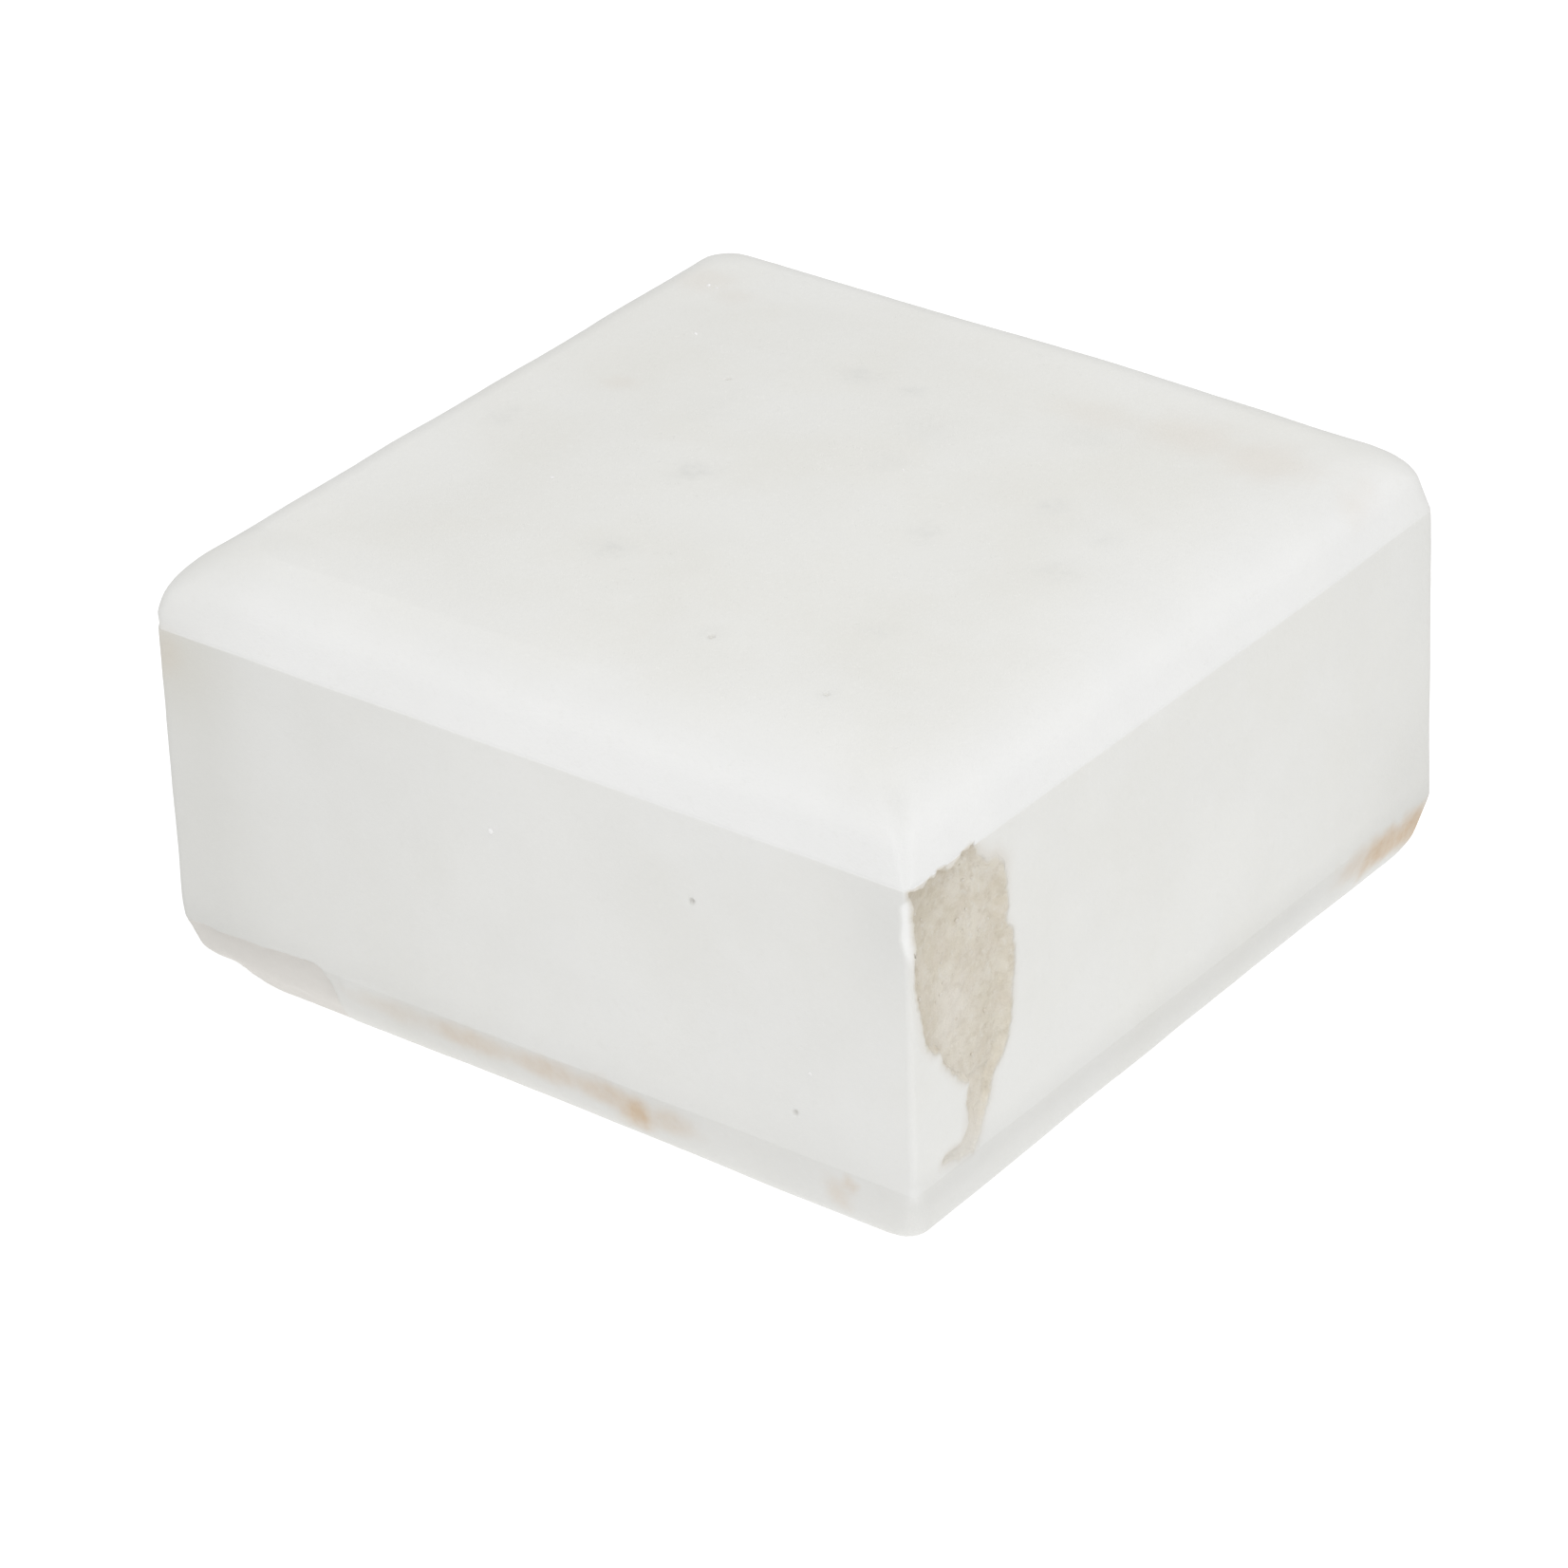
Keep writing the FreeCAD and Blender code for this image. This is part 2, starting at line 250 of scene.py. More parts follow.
EASED = (0.0, 0.60, 0.30, 0.25)                    # extra corner radius: near, right, back, left


def ring_points(inset, z, radius):
    a = A - inset
    pts = []
    for side in range(4):
        c, s = [(1, 0), (0, 1), (-1, 0), (0, -1)][side]
        before, after = radius + EASED[side - 1], radius + EASED[side]
        local = [(-(a - before) + f * (2 * a - before - after), -a) for f in along]
        for k in range(1, ARC):
            t = -math.pi / 2 + k / ARC * math.pi / 2
            local.append((a - after + after * math.cos(t), -(a - after) + after * math.sin(t)))
        pts += [(x * c - y * s, x * s + y * c, z) for x, y in local]
    return pts


verts, faces = [], []
for ring in rings:
    verts += ring_points(*ring)
n_around = len(verts) // len(rings)
for r in range(len(rings) - 1):
    for i in range(n_around):
        j = (i + 1) % n_around
        faces.append((r * n_around + i, r * n_around + j, (r + 1) * n_around + j, (r + 1) * n_around + i))


def fill_flat(start, z, flip):
    """Triangles over a flat face, inside the ring that starts at vertex start."""
    rim = [verts[start + i][:2] for i in range(n_around)]
    rng = np.random.default_rng(11 if flip else 5)
    half = max(p[0] for p in rim)
    step = 0.62
    n = int(half * 2 / step)
    inner = []
    for i in range(n):
        for j in range(n):
            x = -half + (i + 0.5 + 0.5 * (j % 2)) * 2 * half / n + rng.uniform(-0.06, 0.06)
            y = -half + (j + 0.5) * 2 * half / n + rng.uniform(-0.06, 0.06)
            m = max(abs(x), abs(y))
            corner = math.hypot(max(abs(x) - (half - 2.9), 0), max(abs(y) - (half - 2.9), 0))
            if m < half - 0.35 and corner < 2.9 - 0.35:
                inner.append((x, y))
    for px, py, pz, radius, depth in PITS:
        if abs(pz - z) < 0.01:
            for q in range(1, 7):
                for t in range(12):
                    ang = t / 12 * 2 * math.pi + q * 0.2
                    inner.append((px + q * radius * 0.33 * math.cos(ang), py + q * radius * 0.33 * math.sin(ang)))
            inner.append((px, py))
    points = [Vector(p) for p in rim + inner]
    edges = [(i, (i + 1) % n_around) for i in range(n_around)]
    out = delaunay_2d_cdt(points, edges, [], 1, 1e-5)
    lookup = []
    for i, p in enumerate(out[0]):
        origin = [o for o in out[3][i] if o < n_around]
        if origin:
            lookup.append(start + origin[0])
        else:
            lookup.append(len(verts))
            verts.append((p[0], p[1], z))
    for f in out[2]:
        tri = [lookup[k] for k in f]
        faces.append(tuple(reversed(tri)) if flip else tuple(tri))


fill_flat((len(rings) - 1) * n_around, H, False)
fill_flat(0, 0.0, True)

mesh = bpy.data.meshes.new("chalk_block")
mesh.from_pydata(verts, [], faces)
bm = bmesh.new()
bm.from_mesh(mesh)


def refine(test, cuts):
    """Splits every edge of the faces whose centre passes the test."""
    chosen = [f for f in bm.faces if test(f.calc_center_median())]
    edges = {e for f in chosen for e in f.edges}
    bmesh.ops.subdivide_edges(bm, edges=list(edges), cuts=cuts, use_grid_fill=True)


def near_scar(c):
    return c.x > A - 0.02 and c.y < -A + 9.9 and ZB - 0.3 < c.z < ZT + 0.2


def near_arris(c):
    return (abs(c.z - ZT) < 0.32 or abs(c.z - ZB) < 0.32) and not near_scar(c)


def near_upright(c):
    return (c.x > A - 1.5 and c.y < -A + 0.5 and ZB - 1.5 < c.z < ZT + 2.0) and not near_scar(c) and not near_arris(c)


def near_chip(c):
    return c.y < -A + 1.9 and c.x < -12.6 and 0.7 < c.z < ZB - 0.33


def near_wall_pit(c):
    return any(abs(pz - H) > 0.01 and (c - Vector((px, py, pz))).length < 0.9 for px, py, pz, r, d in PITS)


refine(near_scar, 3)
refine(near_arris, 1)
refine(near_upright, 1)
refine(near_chip, 2)
refine(near_wall_pit, 3)
bmesh.ops.triangulate(bm, faces=[f for f in bm.faces if len(f.verts) > 4])
bmesh.ops.recalc_face_normals(bm, faces=bm.faces)
bm.to_mesh(mesh)
bm.free()

count = len(mesh.vertices)
P = np.empty(count * 3)
mesh.vertices.foreach_get("co", P)
P = P.reshape(-1, 3)
N = np.empty(count * 3)
mesh.vertices.foreach_get("normal", N)
N = N.reshape(-1, 3)
x, y, z = P.T
plan = np.maximum(np.abs(x), np.abs(y))
on_top = (z > H - 1e-4).astype(float)
on_foot = (z < 1e-4).astype(float)
u = y + A                                          # distance from the near upright edge on +X
wall_x = smooth(x, A - 0.30, A - 0.02)             # 1 on the +X wall

# Slight crowning of both flat faces, and the slow unevenness of a pressed powder.
crown = 0.16 * smooth(plan, 9.0, 21.5) ** 1.3
shift = np.zeros((count, 3))
shift[:, 2] -= crown * smooth(z, H - 2.6, H) - crown * 0.5 * (1 - smooth(z, 0, 2.6))
slow = 0.055 * fractal(P, 14.0, 3, 2) + 0.030 * gradient_noise(P, 5.2, 8)
fine = 0.012 * gradient_noise(P, 1.9, 21) + 0.006 * gradient_noise(P, 0.9, 33)
height = slow + fine
height = np.where(z < 1.2, -np.abs(height) * 0.6, height)

# Worn arrises: small bites along the four upper and four lower edges and the uprights.
edge_up = np.minimum(np.abs(z - ZT), np.abs(z - ZB))
corner_dist = np.hypot(A - np.abs(x), A - np.abs(y))
near_corner = (x > 0) & (y < 0)
bite = np.clip(gradient_noise(P, 2.6, 41) * 0.8 + gradient_noise(P, 0.8, 43) * 0.7 - 0.18, 0, 2)
near_bevel_edge = bump(edge_up, 0.20) * (plan > A - 0.25)
scar_edge = (np.abs(z - ZT) < 0.4) & (u > 0.4) & (u < 5.4) & (x > A - 0.4)
height -= near_bevel_edge * (0.004 + 0.014 * bite + np.where(scar_edge, 0.06 * np.clip(gradient_noise(P, 0.7, 47) + 0.3, 0, 1.2), 0))
height -= bump(corner_dist, 0.42) * ((z > ZB - 2) & (z < ZT + 2)) * (0.008 + 0.04 * np.clip(gradient_noise(P, 1.7, 51) - 0.05, 0, 1))

# The flat worn on the front side of the near upright edge, below the upper arris.
from_edge = A - x
facet = (smooth(z, 17.4, 20.2) * (1 - smooth(z, ZT - 1.1, ZT - 0.1)) * (y < -A + 0.6) * (x > A - 1.4)
         * (0.8 + 0.35 * gradient_noise(P, 1.3, 57)))
facet_cut = np.clip(0.66 * np.clip(facet, 0, 1.2) - from_edge, 0, None) * 0.60
facet_cut = np.where(y < -A + 0.45, facet_cut, 0)
shift[:, 1] += facet_cut
facet_mask = smooth(facet_cut, 0.0, 0.14)

# The scar.
yz = np.stack([u, z], 1)
sd = inside_distance(yz, SCAR)
ragged = 0.17 * gradient_noise(P, 0.95, 61) + 0.12 * gradient_noise(P, 0.42, 67)
sd_r = sd + ragged * (1 - 0.6 * smooth(-u, -0.6, -0.1))
basin = (0.40 + 0.55 * np.exp(-((u - 2.6) / 3.0) ** 2 - ((z - 20.2) / 4.2) ** 2)
         + 0.20 * np.exp(-((u - 4.6) / 2.2) ** 2 - ((z - 13.1) / 3.4) ** 2))
basin = np.where(z < 9.2, (0.30 + 0.2 * smooth(z, 7.1, 9.2)) * (0.5 + 0.5 * smooth(z, 5.0, 7.2)), basin)
steep = 0.26 + 0.75 * smooth(u, 5.5, 8.6) * smooth(z, 9.1, 12.0)
lip = smooth(sd_r, 0.0, 1.0)
bowl = basin * smooth(sd_r / steep, 0.0, 1.0) ** 0.8
d1, d2, own = cells(P * np.array([0.7, 1, 1]), 0.78, 71)
g1, g2, gown = cells(P, 0.40, 73)
grain = 0.12 * (0.75 - d1) * (0.5 + own) + 0.07 * (0.7 - g1) * (0.4 + gown) + 0.05 * gradient_noise(P, 0.5, 77)
mask = smooth(sd_r, -0.24, 0.06) * wall_x * (1 - 0.40 * (1 - smooth(z, 5.0, 7.2)))
depth = np.clip(bowl - grain * smooth(sd_r, 0.05, 0.5) * np.clip(basin * 1.3, 0.35, 1.0), 0.02, None) * (sd_r > 0) * wall_x
shift[:, 0] -= depth
height *= (1 - 0.7 * mask)

# The chip along the lower front edge, and the smeared stretch beside it.
xz = np.stack([x, z], 1)
cd = inside_distance(xz, CHIP) + 0.10 * gradient_noise(P, 1.3, 81) + 0.05 * gradient_noise(P, 0.5, 83)
front = smooth(-y, A - 2.6, A - 1.4)
chip_depth = 0.34 * smooth(x, -A + 0.3, -A + 2.6) * smooth(cd, 0.0, 0.26) * smooth(z, 0.35, 1.6) * front
chip_depth += 0.035 * gradient_noise(P, 0.8, 87) * smooth(cd, 0.1, 0.5) * front
chip_mask = smooth(cd, 0.0, 0.2) * front
shift[:, 1] += chip_depth * 0.92
shift[:, 2] += chip_depth * 0.30
smear = smooth(x, -13.9, -13.2) * (1 - smooth(x, -11.4, -8.6)) * smooth(z, 2.6, 4.6) * (1 - smooth(z, ZB - 0.05, ZB + 0.3)) * front
shift[:, 1] -= 0.08 * smear

# The rounded lower corner at the chip's end.
corner_low = ((1 - smooth(x, -A, -A + 3.5)) * (1 - smooth(y, -A, -A + 3.5)) * (1 - smooth(z, ZB - 0.8, ZB + 1.6)))
shift[:, 0] += 0.15 * corner_low
shift[:, 1] += 0.10 * corner_low
corner_foot = ((1 - smooth(x, -A + 0.5, -A + 6.0)) * (1 - smooth(y, -A + 0.5, -A + 6.0)) * smooth(ZB - z, 1.6, 4.2))
shift[:, 0] += 0.75 * corner_foot
shift[:, 1] += 0.60 * corner_foot
shift[:, 2] += 0.30 * corner_foot * smooth(z, 0.0, 0.6)
# The foot of the lower rim is a little fuller towards the near corner.
foot_out = 0.42 * smooth(ZB - z, 0.8, 3.8)
shift[:, 1] -= foot_out * smooth(-y, 17.0, 21.0) * smooth(x, -4.0, 22.0)
shift[:, 0] += foot_out * smooth(x, 17.0, 21.0) * smooth(-y, -4.0, 22.0)

# The left and right corners of the upper rim are squarer, and the right upright leans in a little.
left_corner = (1 - smooth(x, -A + 0.5, -A + 5.0)) * (1 - smooth(y, -A + 0.5, -A + 5.0))
fuller = 0.26 * left_corner * smooth(z, ZT, ZT + 1.0) * (1 - smooth(z, ZT + 1.4, ZT + 3.4))
shift[:, 0] -= fuller
shift[:, 1] -= fuller * 0.8
right_corner = smooth(x, A - 12.0, A - 1.0) * smooth(y, A - 12.0, A - 1.0)
lean = 0.24 * right_corner * np.clip((z - ZB) / (ZT - ZB), 0, 1) * (1 - 0.8 * smooth(z, ZT, H))
shift[:, 0] -= lean
shift[:, 1] -= lean
shift[:, 2] -= 0.30 * (1 - smooth(np.hypot(A - x, A - y), 0.0, 24.0)) * smooth(z, ZT + 0.4, H)

# Pinholes, with painted shade darkening the colour inside them.
pit_shade_mask = np.zeros(count)
for px, py, pz, radius, deep in PITS:
    d = np.linalg.norm(P - np.array([px, py, pz]), axis=1)
    wobble = 1 + 0.25 * gradient_noise(P, 0.3, 91)
    k = 1 - smooth(d * wobble, radius * 0.35, radius * 1.15)
    height -= deep * k
    pit_shade_mask = np.maximum(pit_shade_mask, k)

Q = P + shift + N * height[:, None]
Q[:, 2] = np.maximum(Q[:, 2], 0.0)
mesh.vertices.foreach_set("co", (Q * MM).ravel())


def attribute(target, name, values):
    at = target.attributes.get(name) or target.attributes.new(name, "FLOAT", "POINT")
    at.data.foreach_set("value", np.clip(values, 0, 1).astype(np.float32))


grey = np.zeros(count)
for sx, sy, r, k in SMUDGES:
    d = np.hypot(x - sx, (y - sy)) * (1 + 0.35 * gradient_noise(P, 1.1, 101))
    grey = np.maximum(grey, k * (1 - smooth(d, r * 0.15, r * 1.2)) * smooth(z, H - 1, H))
stain = np.zeros(count)
tan = np.zeros(count)
for sx, sy, sz, ra, ru, k in STAINS:
    flat = abs(sz - H) < 0.01
    if flat:
        d = np.sqrt(((x - sx) / ra) ** 2 + ((y - sy) / ru) ** 2 + ((z - sz) / 2.5) ** 2)
    else:
        d = np.sqrt(((np.hypot(x - sx, y - sy)) / ra) ** 2 + ((z - sz) / ru) ** 2)
    d = d * (1 + 0.22 * gradient_noise(P, 1.5, 103) + 0.12 * gradient_noise(P, 0.6, 107))
    amount = k * (1 - smooth(d, 0.25, 1.25))
    if flat:
        tan = np.maximum(tan, 1.8 * amount)
    else:
        stain = np.maximum(stain, amount)
# Wear and painted highlight: a paler colour along the near upright edge, on its rubbed flat, at its foot and faintly on
# the other uprights, partly rubbed chalk and partly standing in for the light these edges catch.
line = 0.12 + 0.18 * (1 - smooth(z, 7.6, 12.0)) + 0.40 * smooth(z, 18.0, 19.8)
wear_and_highlight = (bump(corner_dist, 0.20) * line * smooth(z, ZB - 1.6, ZB - 0.2) * (1 - smooth(z, ZT - 0.1, ZT + 0.3)) * near_corner)
wear_and_highlight = np.maximum(wear_and_highlight, bump(np.hypot(A - x, np.hypot(y + A, z - ZB)), 0.55) * 0.65)
wear_and_highlight = np.maximum(wear_and_highlight, bump(corner_dist, 0.40) * ((z > ZB) & (z < ZT)) * 0.15 * ~near_corner)
wear_and_highlight = np.maximum(wear_and_highlight, facet_mask)
upper = smooth(z, ZT - 0.06, ZT + 0.06)
# Painted highlight: the upper rim and the edge of the upper face next to it get a paler colour, strongest towards the
# near corner, for the light that falls on them.
painted_rim_light = upper * np.interp(A - plan, (0.0, 0.45, 0.8, 1.4, 2.7, 3.7, 4.7, 6.0, 8.0, 11.0),
                           (1.0, 1.0, 0.92, 0.79, 0.48, 0.35, 0.28, 0.18, 0.04, 0.0))
painted_rim_light *= 0.45 + 0.55 * smooth(x - y, -3.0, 5.0)
# Painted shade: everything above the upper arris gets a darker colour than the walls, for the stronger light it takes
# from above.
painted_top_shade = upper
# Painted shade: the downward-facing lower rim gets a darker, warmer colour, strongest along the front and fading
# towards the right.
painted_under_shade = (1 - smooth(z, ZB - 0.06, ZB + 0.06)) * (1 - smear)
painted_under_shade_front = painted_under_shade * (y < -A + 4.5) * (1 - smooth(x, 7.0, 15.0) * 0.75)
rim_of_scar = bump(sd, 0.22) * wall_x
# Painted shade: the left end of the front wall and the far end of the right wall are darkened, where the light falls
# off towards the outer uprights.
front_end_shade = (0.80 * (1 - smooth(x, -A + 1.5, -A + 9.0)) + 0.35 * (1 - smooth(x, -A, -2.0))) * (y < -A + 6.0)
front_end_shade *= 1 - 0.6 * smooth(z, ZT - 0.06, ZT + 0.06)
right_end_shade = (0.25 * smooth(y, A - 5.0, A) + 0.12 * smooth(y, 0.0, A)) * (x > A - 6.0)
halo = (0.28 * (1 - smooth(-sd, 0.0, 0.7)) + 0.30 * (1 - smooth(-sd, 0.1, 1.3)) * smooth(z, 18.5, 21.5)) * wall_x * (z < ZT)
slope = np.degrees(np.arcsin(np.clip(N[:, 2], -1, 1)))
diagonal = 2 * np.abs(N[:, 0] * N[:, 1]) / np.maximum(N[:, 0] ** 2 + N[:, 1] ** 2, 1e-6)
# Painted shade: the colour is darkened on the upper shoulders by their slope, on the near mitre and upright, on the
# left of the upper face, along the foot of the walls, over the lower rim and over parts of the front and right walls,
# in place of how the light falls on them.
painted_shade = np.interp(slope, (8, 14, 30, 45, 60, 75, 90), (0.0, 0.0, 0.024, 0.048, 0.050, 0.028, 0.0)) * (z > ZT)
painted_shade += 0.020 * on_top * (1 - smooth(x, -14.0, 8.0))
painted_shade += 0.05 * diagonal ** 2 * near_corner * (z > ZT) * (plan > A - 3.2) * (1 - smooth(slope, 60, 80))
painted_shade += 0.015 * bump(corner_dist, 0.38) * near_corner * (z > ZB) * (z < ZT) * (1 - smooth(z, 18.0, 19.8))
painted_shade += (0.03 + 0.02 * wall_x) * (1 - smooth(z, ZB, ZB + 1.8)) * (z > ZB) * (1 - 0.6 * smooth(x, 10.0, 16.0) * (1 - wall_x))
painted_shade += 0.075 * (1 - smooth(ZB - z, 0.6, 3.4)) * (z <= ZB) * (1 - 0.35 * smooth(x, 8.0, 16.0)) * (1 - 0.30 * wall_x)
painted_shade += 0.042 * (1 - smooth(ZB - z, 0.3, 2.0)) * (z <= ZB) * smooth(x + y, -0.3, 1.5) * (x > A - 5.0)
band = (z > ZB) * (z < ZT)
wall_y = smooth(-y, A - 0.30, A - 0.02) * band
painted_shade += wall_y * np.interp(x, (-A, -22.0, -14.0, -4.0, 4.0, 8.0), (0.034, 0.034, 0.025, 0.012, 0.003, 0.0))
painted_shade += wall_y * (0.012 * (1 - smooth(z, 5.4, 9.0)) + 0.050 * bump(x - 24.4, 2.6) * bump(z - 20.4, 3.6) * (1 - facet_mask))
painted_shade += wall_x * band * (0.020 * smooth(y, 12.0, 23.0) + 0.034 * smooth(y, 12.0, 22.0) * (1 - smooth(z, 7.0, 14.0)))
# Darker broken chalk in the scar; the strongest patch, at its upper left under the overhanging rim, is painted shade of
# that deep recess.
scar_dark_and_shade = np.maximum(0.62 * bump(u - 1.9, 2.0) * bump(z - 20.2, 2.8), 0.50 * bump(u - 7.1, 1.1) * bump(z - 11.8, 4.2))
scar_dark_and_shade = np.maximum(scar_dark_and_shade, 0.33 * bump(u - 2.4, 1.2) * bump(z - 15.0, 3.0))
scar_dark_and_shade = np.maximum(scar_dark_and_shade, 0.28 * bump(u - 5.6, 0.9) * bump(z - 7.8, 1.6))
olive = wall_y * bump(x + 24.6, 3.4) * bump(z - 21.6, 3.4)
attribute(mesh, "olive", olive)
attribute(mesh, "halo", halo * (1 - mask))
attribute(mesh, "painted_shade", painted_shade)
attribute(mesh, "scar_dark_and_shade", scar_dark_and_shade)
attribute(mesh, "right_wall_painted_light", wall_x)
attribute(mesh, "scar", mask)
attribute(mesh, "scar_depth", depth / 1.3)
attribute(mesh, "scar_grain", 0.5 * gown + 0.5 * own)
attribute(mesh, "scar_pale", np.maximum(bump(u - 4.3, 1.7) * bump(z - 13.4, 2.6), 1.0 * (1 - smooth(z, 7.5, 12.5)) * bump(u - 4.0, 2.8)))
attribute(mesh, "chip", chip_mask)
attribute(mesh, "stain", stain)
attribute(mesh, "tan", tan)
attribute(mesh, "grey", grey)
attribute(mesh, "wear_and_highlight", wear_and_highlight * (1 - mask))
attribute(mesh, "painted_rim_light", painted_rim_light)
attribute(mesh, "painted_top_shade", painted_top_shade)
attribute(mesh, "painted_under_shade", np.maximum(0.35 * painted_under_shade, painted_under_shade_front))
attribute(mesh, "pit_shade", pit_shade_mask)
attribute(mesh, "painted_end_shade", np.maximum(front_end_shade, right_end_shade))

mesh.update()
for poly in mesh.polygons:
    poly.use_smooth = True
block = bpy.data.objects.new("chalk_block_surface", mesh)
bpy.context.scene.collection.objects.link(block)


# ------------------------------------------------------------------------------- loose grains
def grain_meshes(name, places, seed):
    """Irregular little stones: (position, outward normal, radius, tone) each, as one mesh."""
    rng = np.random.default_rng(seed)
    all_v, all_f, tone = [], [], []
    small = bmesh.new()
    bmesh.ops.create_icosphere(small, subdivisions=2, radius=1.0)
    sv = np.array([v.co for v in small.verts])
    sf = [[v.index for v in f.verts] for f in small.faces]
    small.free()
    for n, (pos, normal, radius, value) in enumerate(places):
        squash = rng.uniform(0.62, 1.15, 3)
        v = sv * squash
        lumps = 1 + 0.30 * gradient_noise(sv + n * 7.3, 1.1, seed + 1) + 0.16 * gradient_noise(sv + n * 3.1, 0.5, seed + 2)
        v = v * lumps[:, None]
        axis = rng.normal(size=3)
        axis /= np.linalg.norm(axis)
        rot = np.array(Matrix.Rotation(rng.uniform(0, 6.28), 3, Vector(axis)))
        v = v @ rot.T
        out_dir = np.array(normal) / np.linalg.norm(normal)
        v = v - 0.45 * (v @ out_dir)[:, None] * out_dir
        v = v * radius + np.array(pos) + np.array(normal) * radius * 0.12
        base = len(all_v)
        all_v += [tuple(p) for p in v]
        all_f += [[base + k for k in f] for f in sf]
        tone += [value] * len(sv)
    m = bpy.data.meshes.new(name)
    m.from_pydata([(a * MM, b * MM, c * MM) for a, b, c in all_v], [], all_f)
    attribute(m, "tone", np.array(tone))
    for poly in m.polygons:
        poly.use_smooth = True
    m.update()
    o = bpy.data.objects.new(name, m)
    bpy.context.scene.collection.objects.link(o)
    return o


rng = np.random.default_rng(2024)
inside = np.where((mask > 0.9) & (sd > 0.28))[0]
places, taken = [], []
order = rng.permutation(inside)
for i in order:
    if len(places) >= 34:
        break
    p = Q[i]
    size = 0.07 + 0.09 * rng.random() ** 2.4
    if any((abs(p[1] - t[0]) < (size + t[2]) * 1.1 and abs(p[2] - t[1]) < (size + t[2]) * 1.1) for t in taken):
        continue
    if p[0] + size > A - 0.05:
        continue
    taken.append((p[1], p[2], size))
    places.append(((p[0], p[1], p[2]), (1, 0, 0), size, rng.random()))
crumbs = grain_meshes("loose_crumbs", places, 31)

fleck_places = []
for fx, fy, fz, size in FLECKS:
    k = int(np.argmin(np.linalg.norm(P - np.array([fx, fy, fz]), axis=1)))
    fleck_places.append((tuple(Q[k]), tuple(N[k] * -0.7), size * 0.8, 0.9))
flecks = grain_meshes("stuck_flecks", fleck_places, 57)


# ---------------------------------------------------------------------------------- materials
class Nodes:
    """A thin wrapper that makes node graphs readable."""

    def __init__(self, name):
        self.material = bpy.data.materials.new(name)
        self.material.use_nodes = True
        self.tree = self.material.node_tree
        self.tree.nodes.clear()
        self.out = self.tree.nodes.new("ShaderNodeOutputMaterial")
        self.shader = self.tree.nodes.new("ShaderNodeBsdfPrincipled")
        self.tree.links.new(self.shader.outputs[0], self.out.inputs["Surface"])
        tc = self.tree.nodes.new("ShaderNodeTexCoord")
        scale = self.tree.nodes.new("ShaderNodeVectorMath")
        scale.operation = "SCALE"
        scale.inputs["Scale"].default_value = 1000.0
        self.tree.links.new(tc.outputs["Object"], scale.inputs[0])
        self.mm = scale.outputs[0]

    def put(self, socket, value):
        if isinstance(value, bpy.types.NodeSocket):
            self.tree.links.new(value, socket)
        elif isinstance(value, (tuple, list)):
            socket.default_value = tuple(value) + ((1.0,) if len(value) == 3 and len(socket.default_value) == 4 else ())
        else:
            socket.default_value = value

    def noise(self, size, detail=2.0, rough=0.5, offset=0.0, distortion=0.0):
        n = self.tree.nodes.new("ShaderNodeTexNoise")
        n.inputs["Scale"].default_value = 1.0 / size
        n.inputs["Detail"].default_value = detail
        n.inputs["Roughness"].default_value = rough
        n.inputs["Distortion"].default_value = distortion
        if offset:
            add = self.tree.nodes.new("ShaderNodeVectorMath")
            add.operation = "ADD"
            self.tree.links.new(self.mm, add.inputs[0])
            add.inputs[1].default_value = (offset, offset * 0.7, -offset * 1.3)
            self.tree.links.new(add.outputs[0], n.inputs["Vector"])
        else:
            self.tree.links.new(self.mm, n.inputs["Vector"])
        return n.outputs[0]

    def voronoi(self, size, feature="F1", randomness=1.0):
        n = self.tree.nodes.new("ShaderNodeTexVoronoi")
        n.feature = feature
        n.inputs["Scale"].default_value = 1.0 / size
        n.inputs["Randomness"].default_value = randomness
        self.tree.links.new(self.mm, n.inputs["Vector"])
        return n.outputs["Distance"], n.outputs["Color"]

    def attr(self, name):
        n = self.tree.nodes.new("ShaderNodeAttribute")
        n.attribute_name = name
        return n.outputs["Fac"]

    def math(self, op, a, b=0.5, clamp=False):
        n = self.tree.nodes.new("ShaderNodeMath")
        n.operation = op
        n.use_clamp = clamp
        self.put(n.inputs[0], a)
        self.put(n.inputs[1], b)
        return n.outputs[0]

    def span(self, value, lo, hi, to_lo=0.0, to_hi=1.0):
        n = self.tree.nodes.new("ShaderNodeMapRange")
        n.interpolation_type = "SMOOTHSTEP"
        self.put(n.inputs["Value"], value)
        n.inputs["From Min"].default_value = lo
        n.inputs["From Max"].default_value = hi
        n.inputs["To Min"].default_value = to_lo
        n.inputs["To Max"].default_value = to_hi
        return n.outputs["Result"]

    def mix(self, factor, a, b, blend="MIX"):
        n = self.tree.nodes.new("ShaderNodeMix")
        n.data_type = "RGBA"
        n.blend_type = blend
        self.put(n.inputs[0], factor)
        self.put(n.inputs[6], a)
        self.put(n.inputs[7], b)
        return n.outputs[2]

    def bump(self, height, distance, strength=1.0, normal=None):
        n = self.tree.nodes.new("ShaderNodeBump")
        n.inputs["Strength"].default_value = strength
        n.inputs["Distance"].default_value = distance
        self.put(n.inputs["Height"], height)
        if normal is not None:
            self.tree.links.new(normal, n.inputs["Normal"])
        return n.outputs[0]


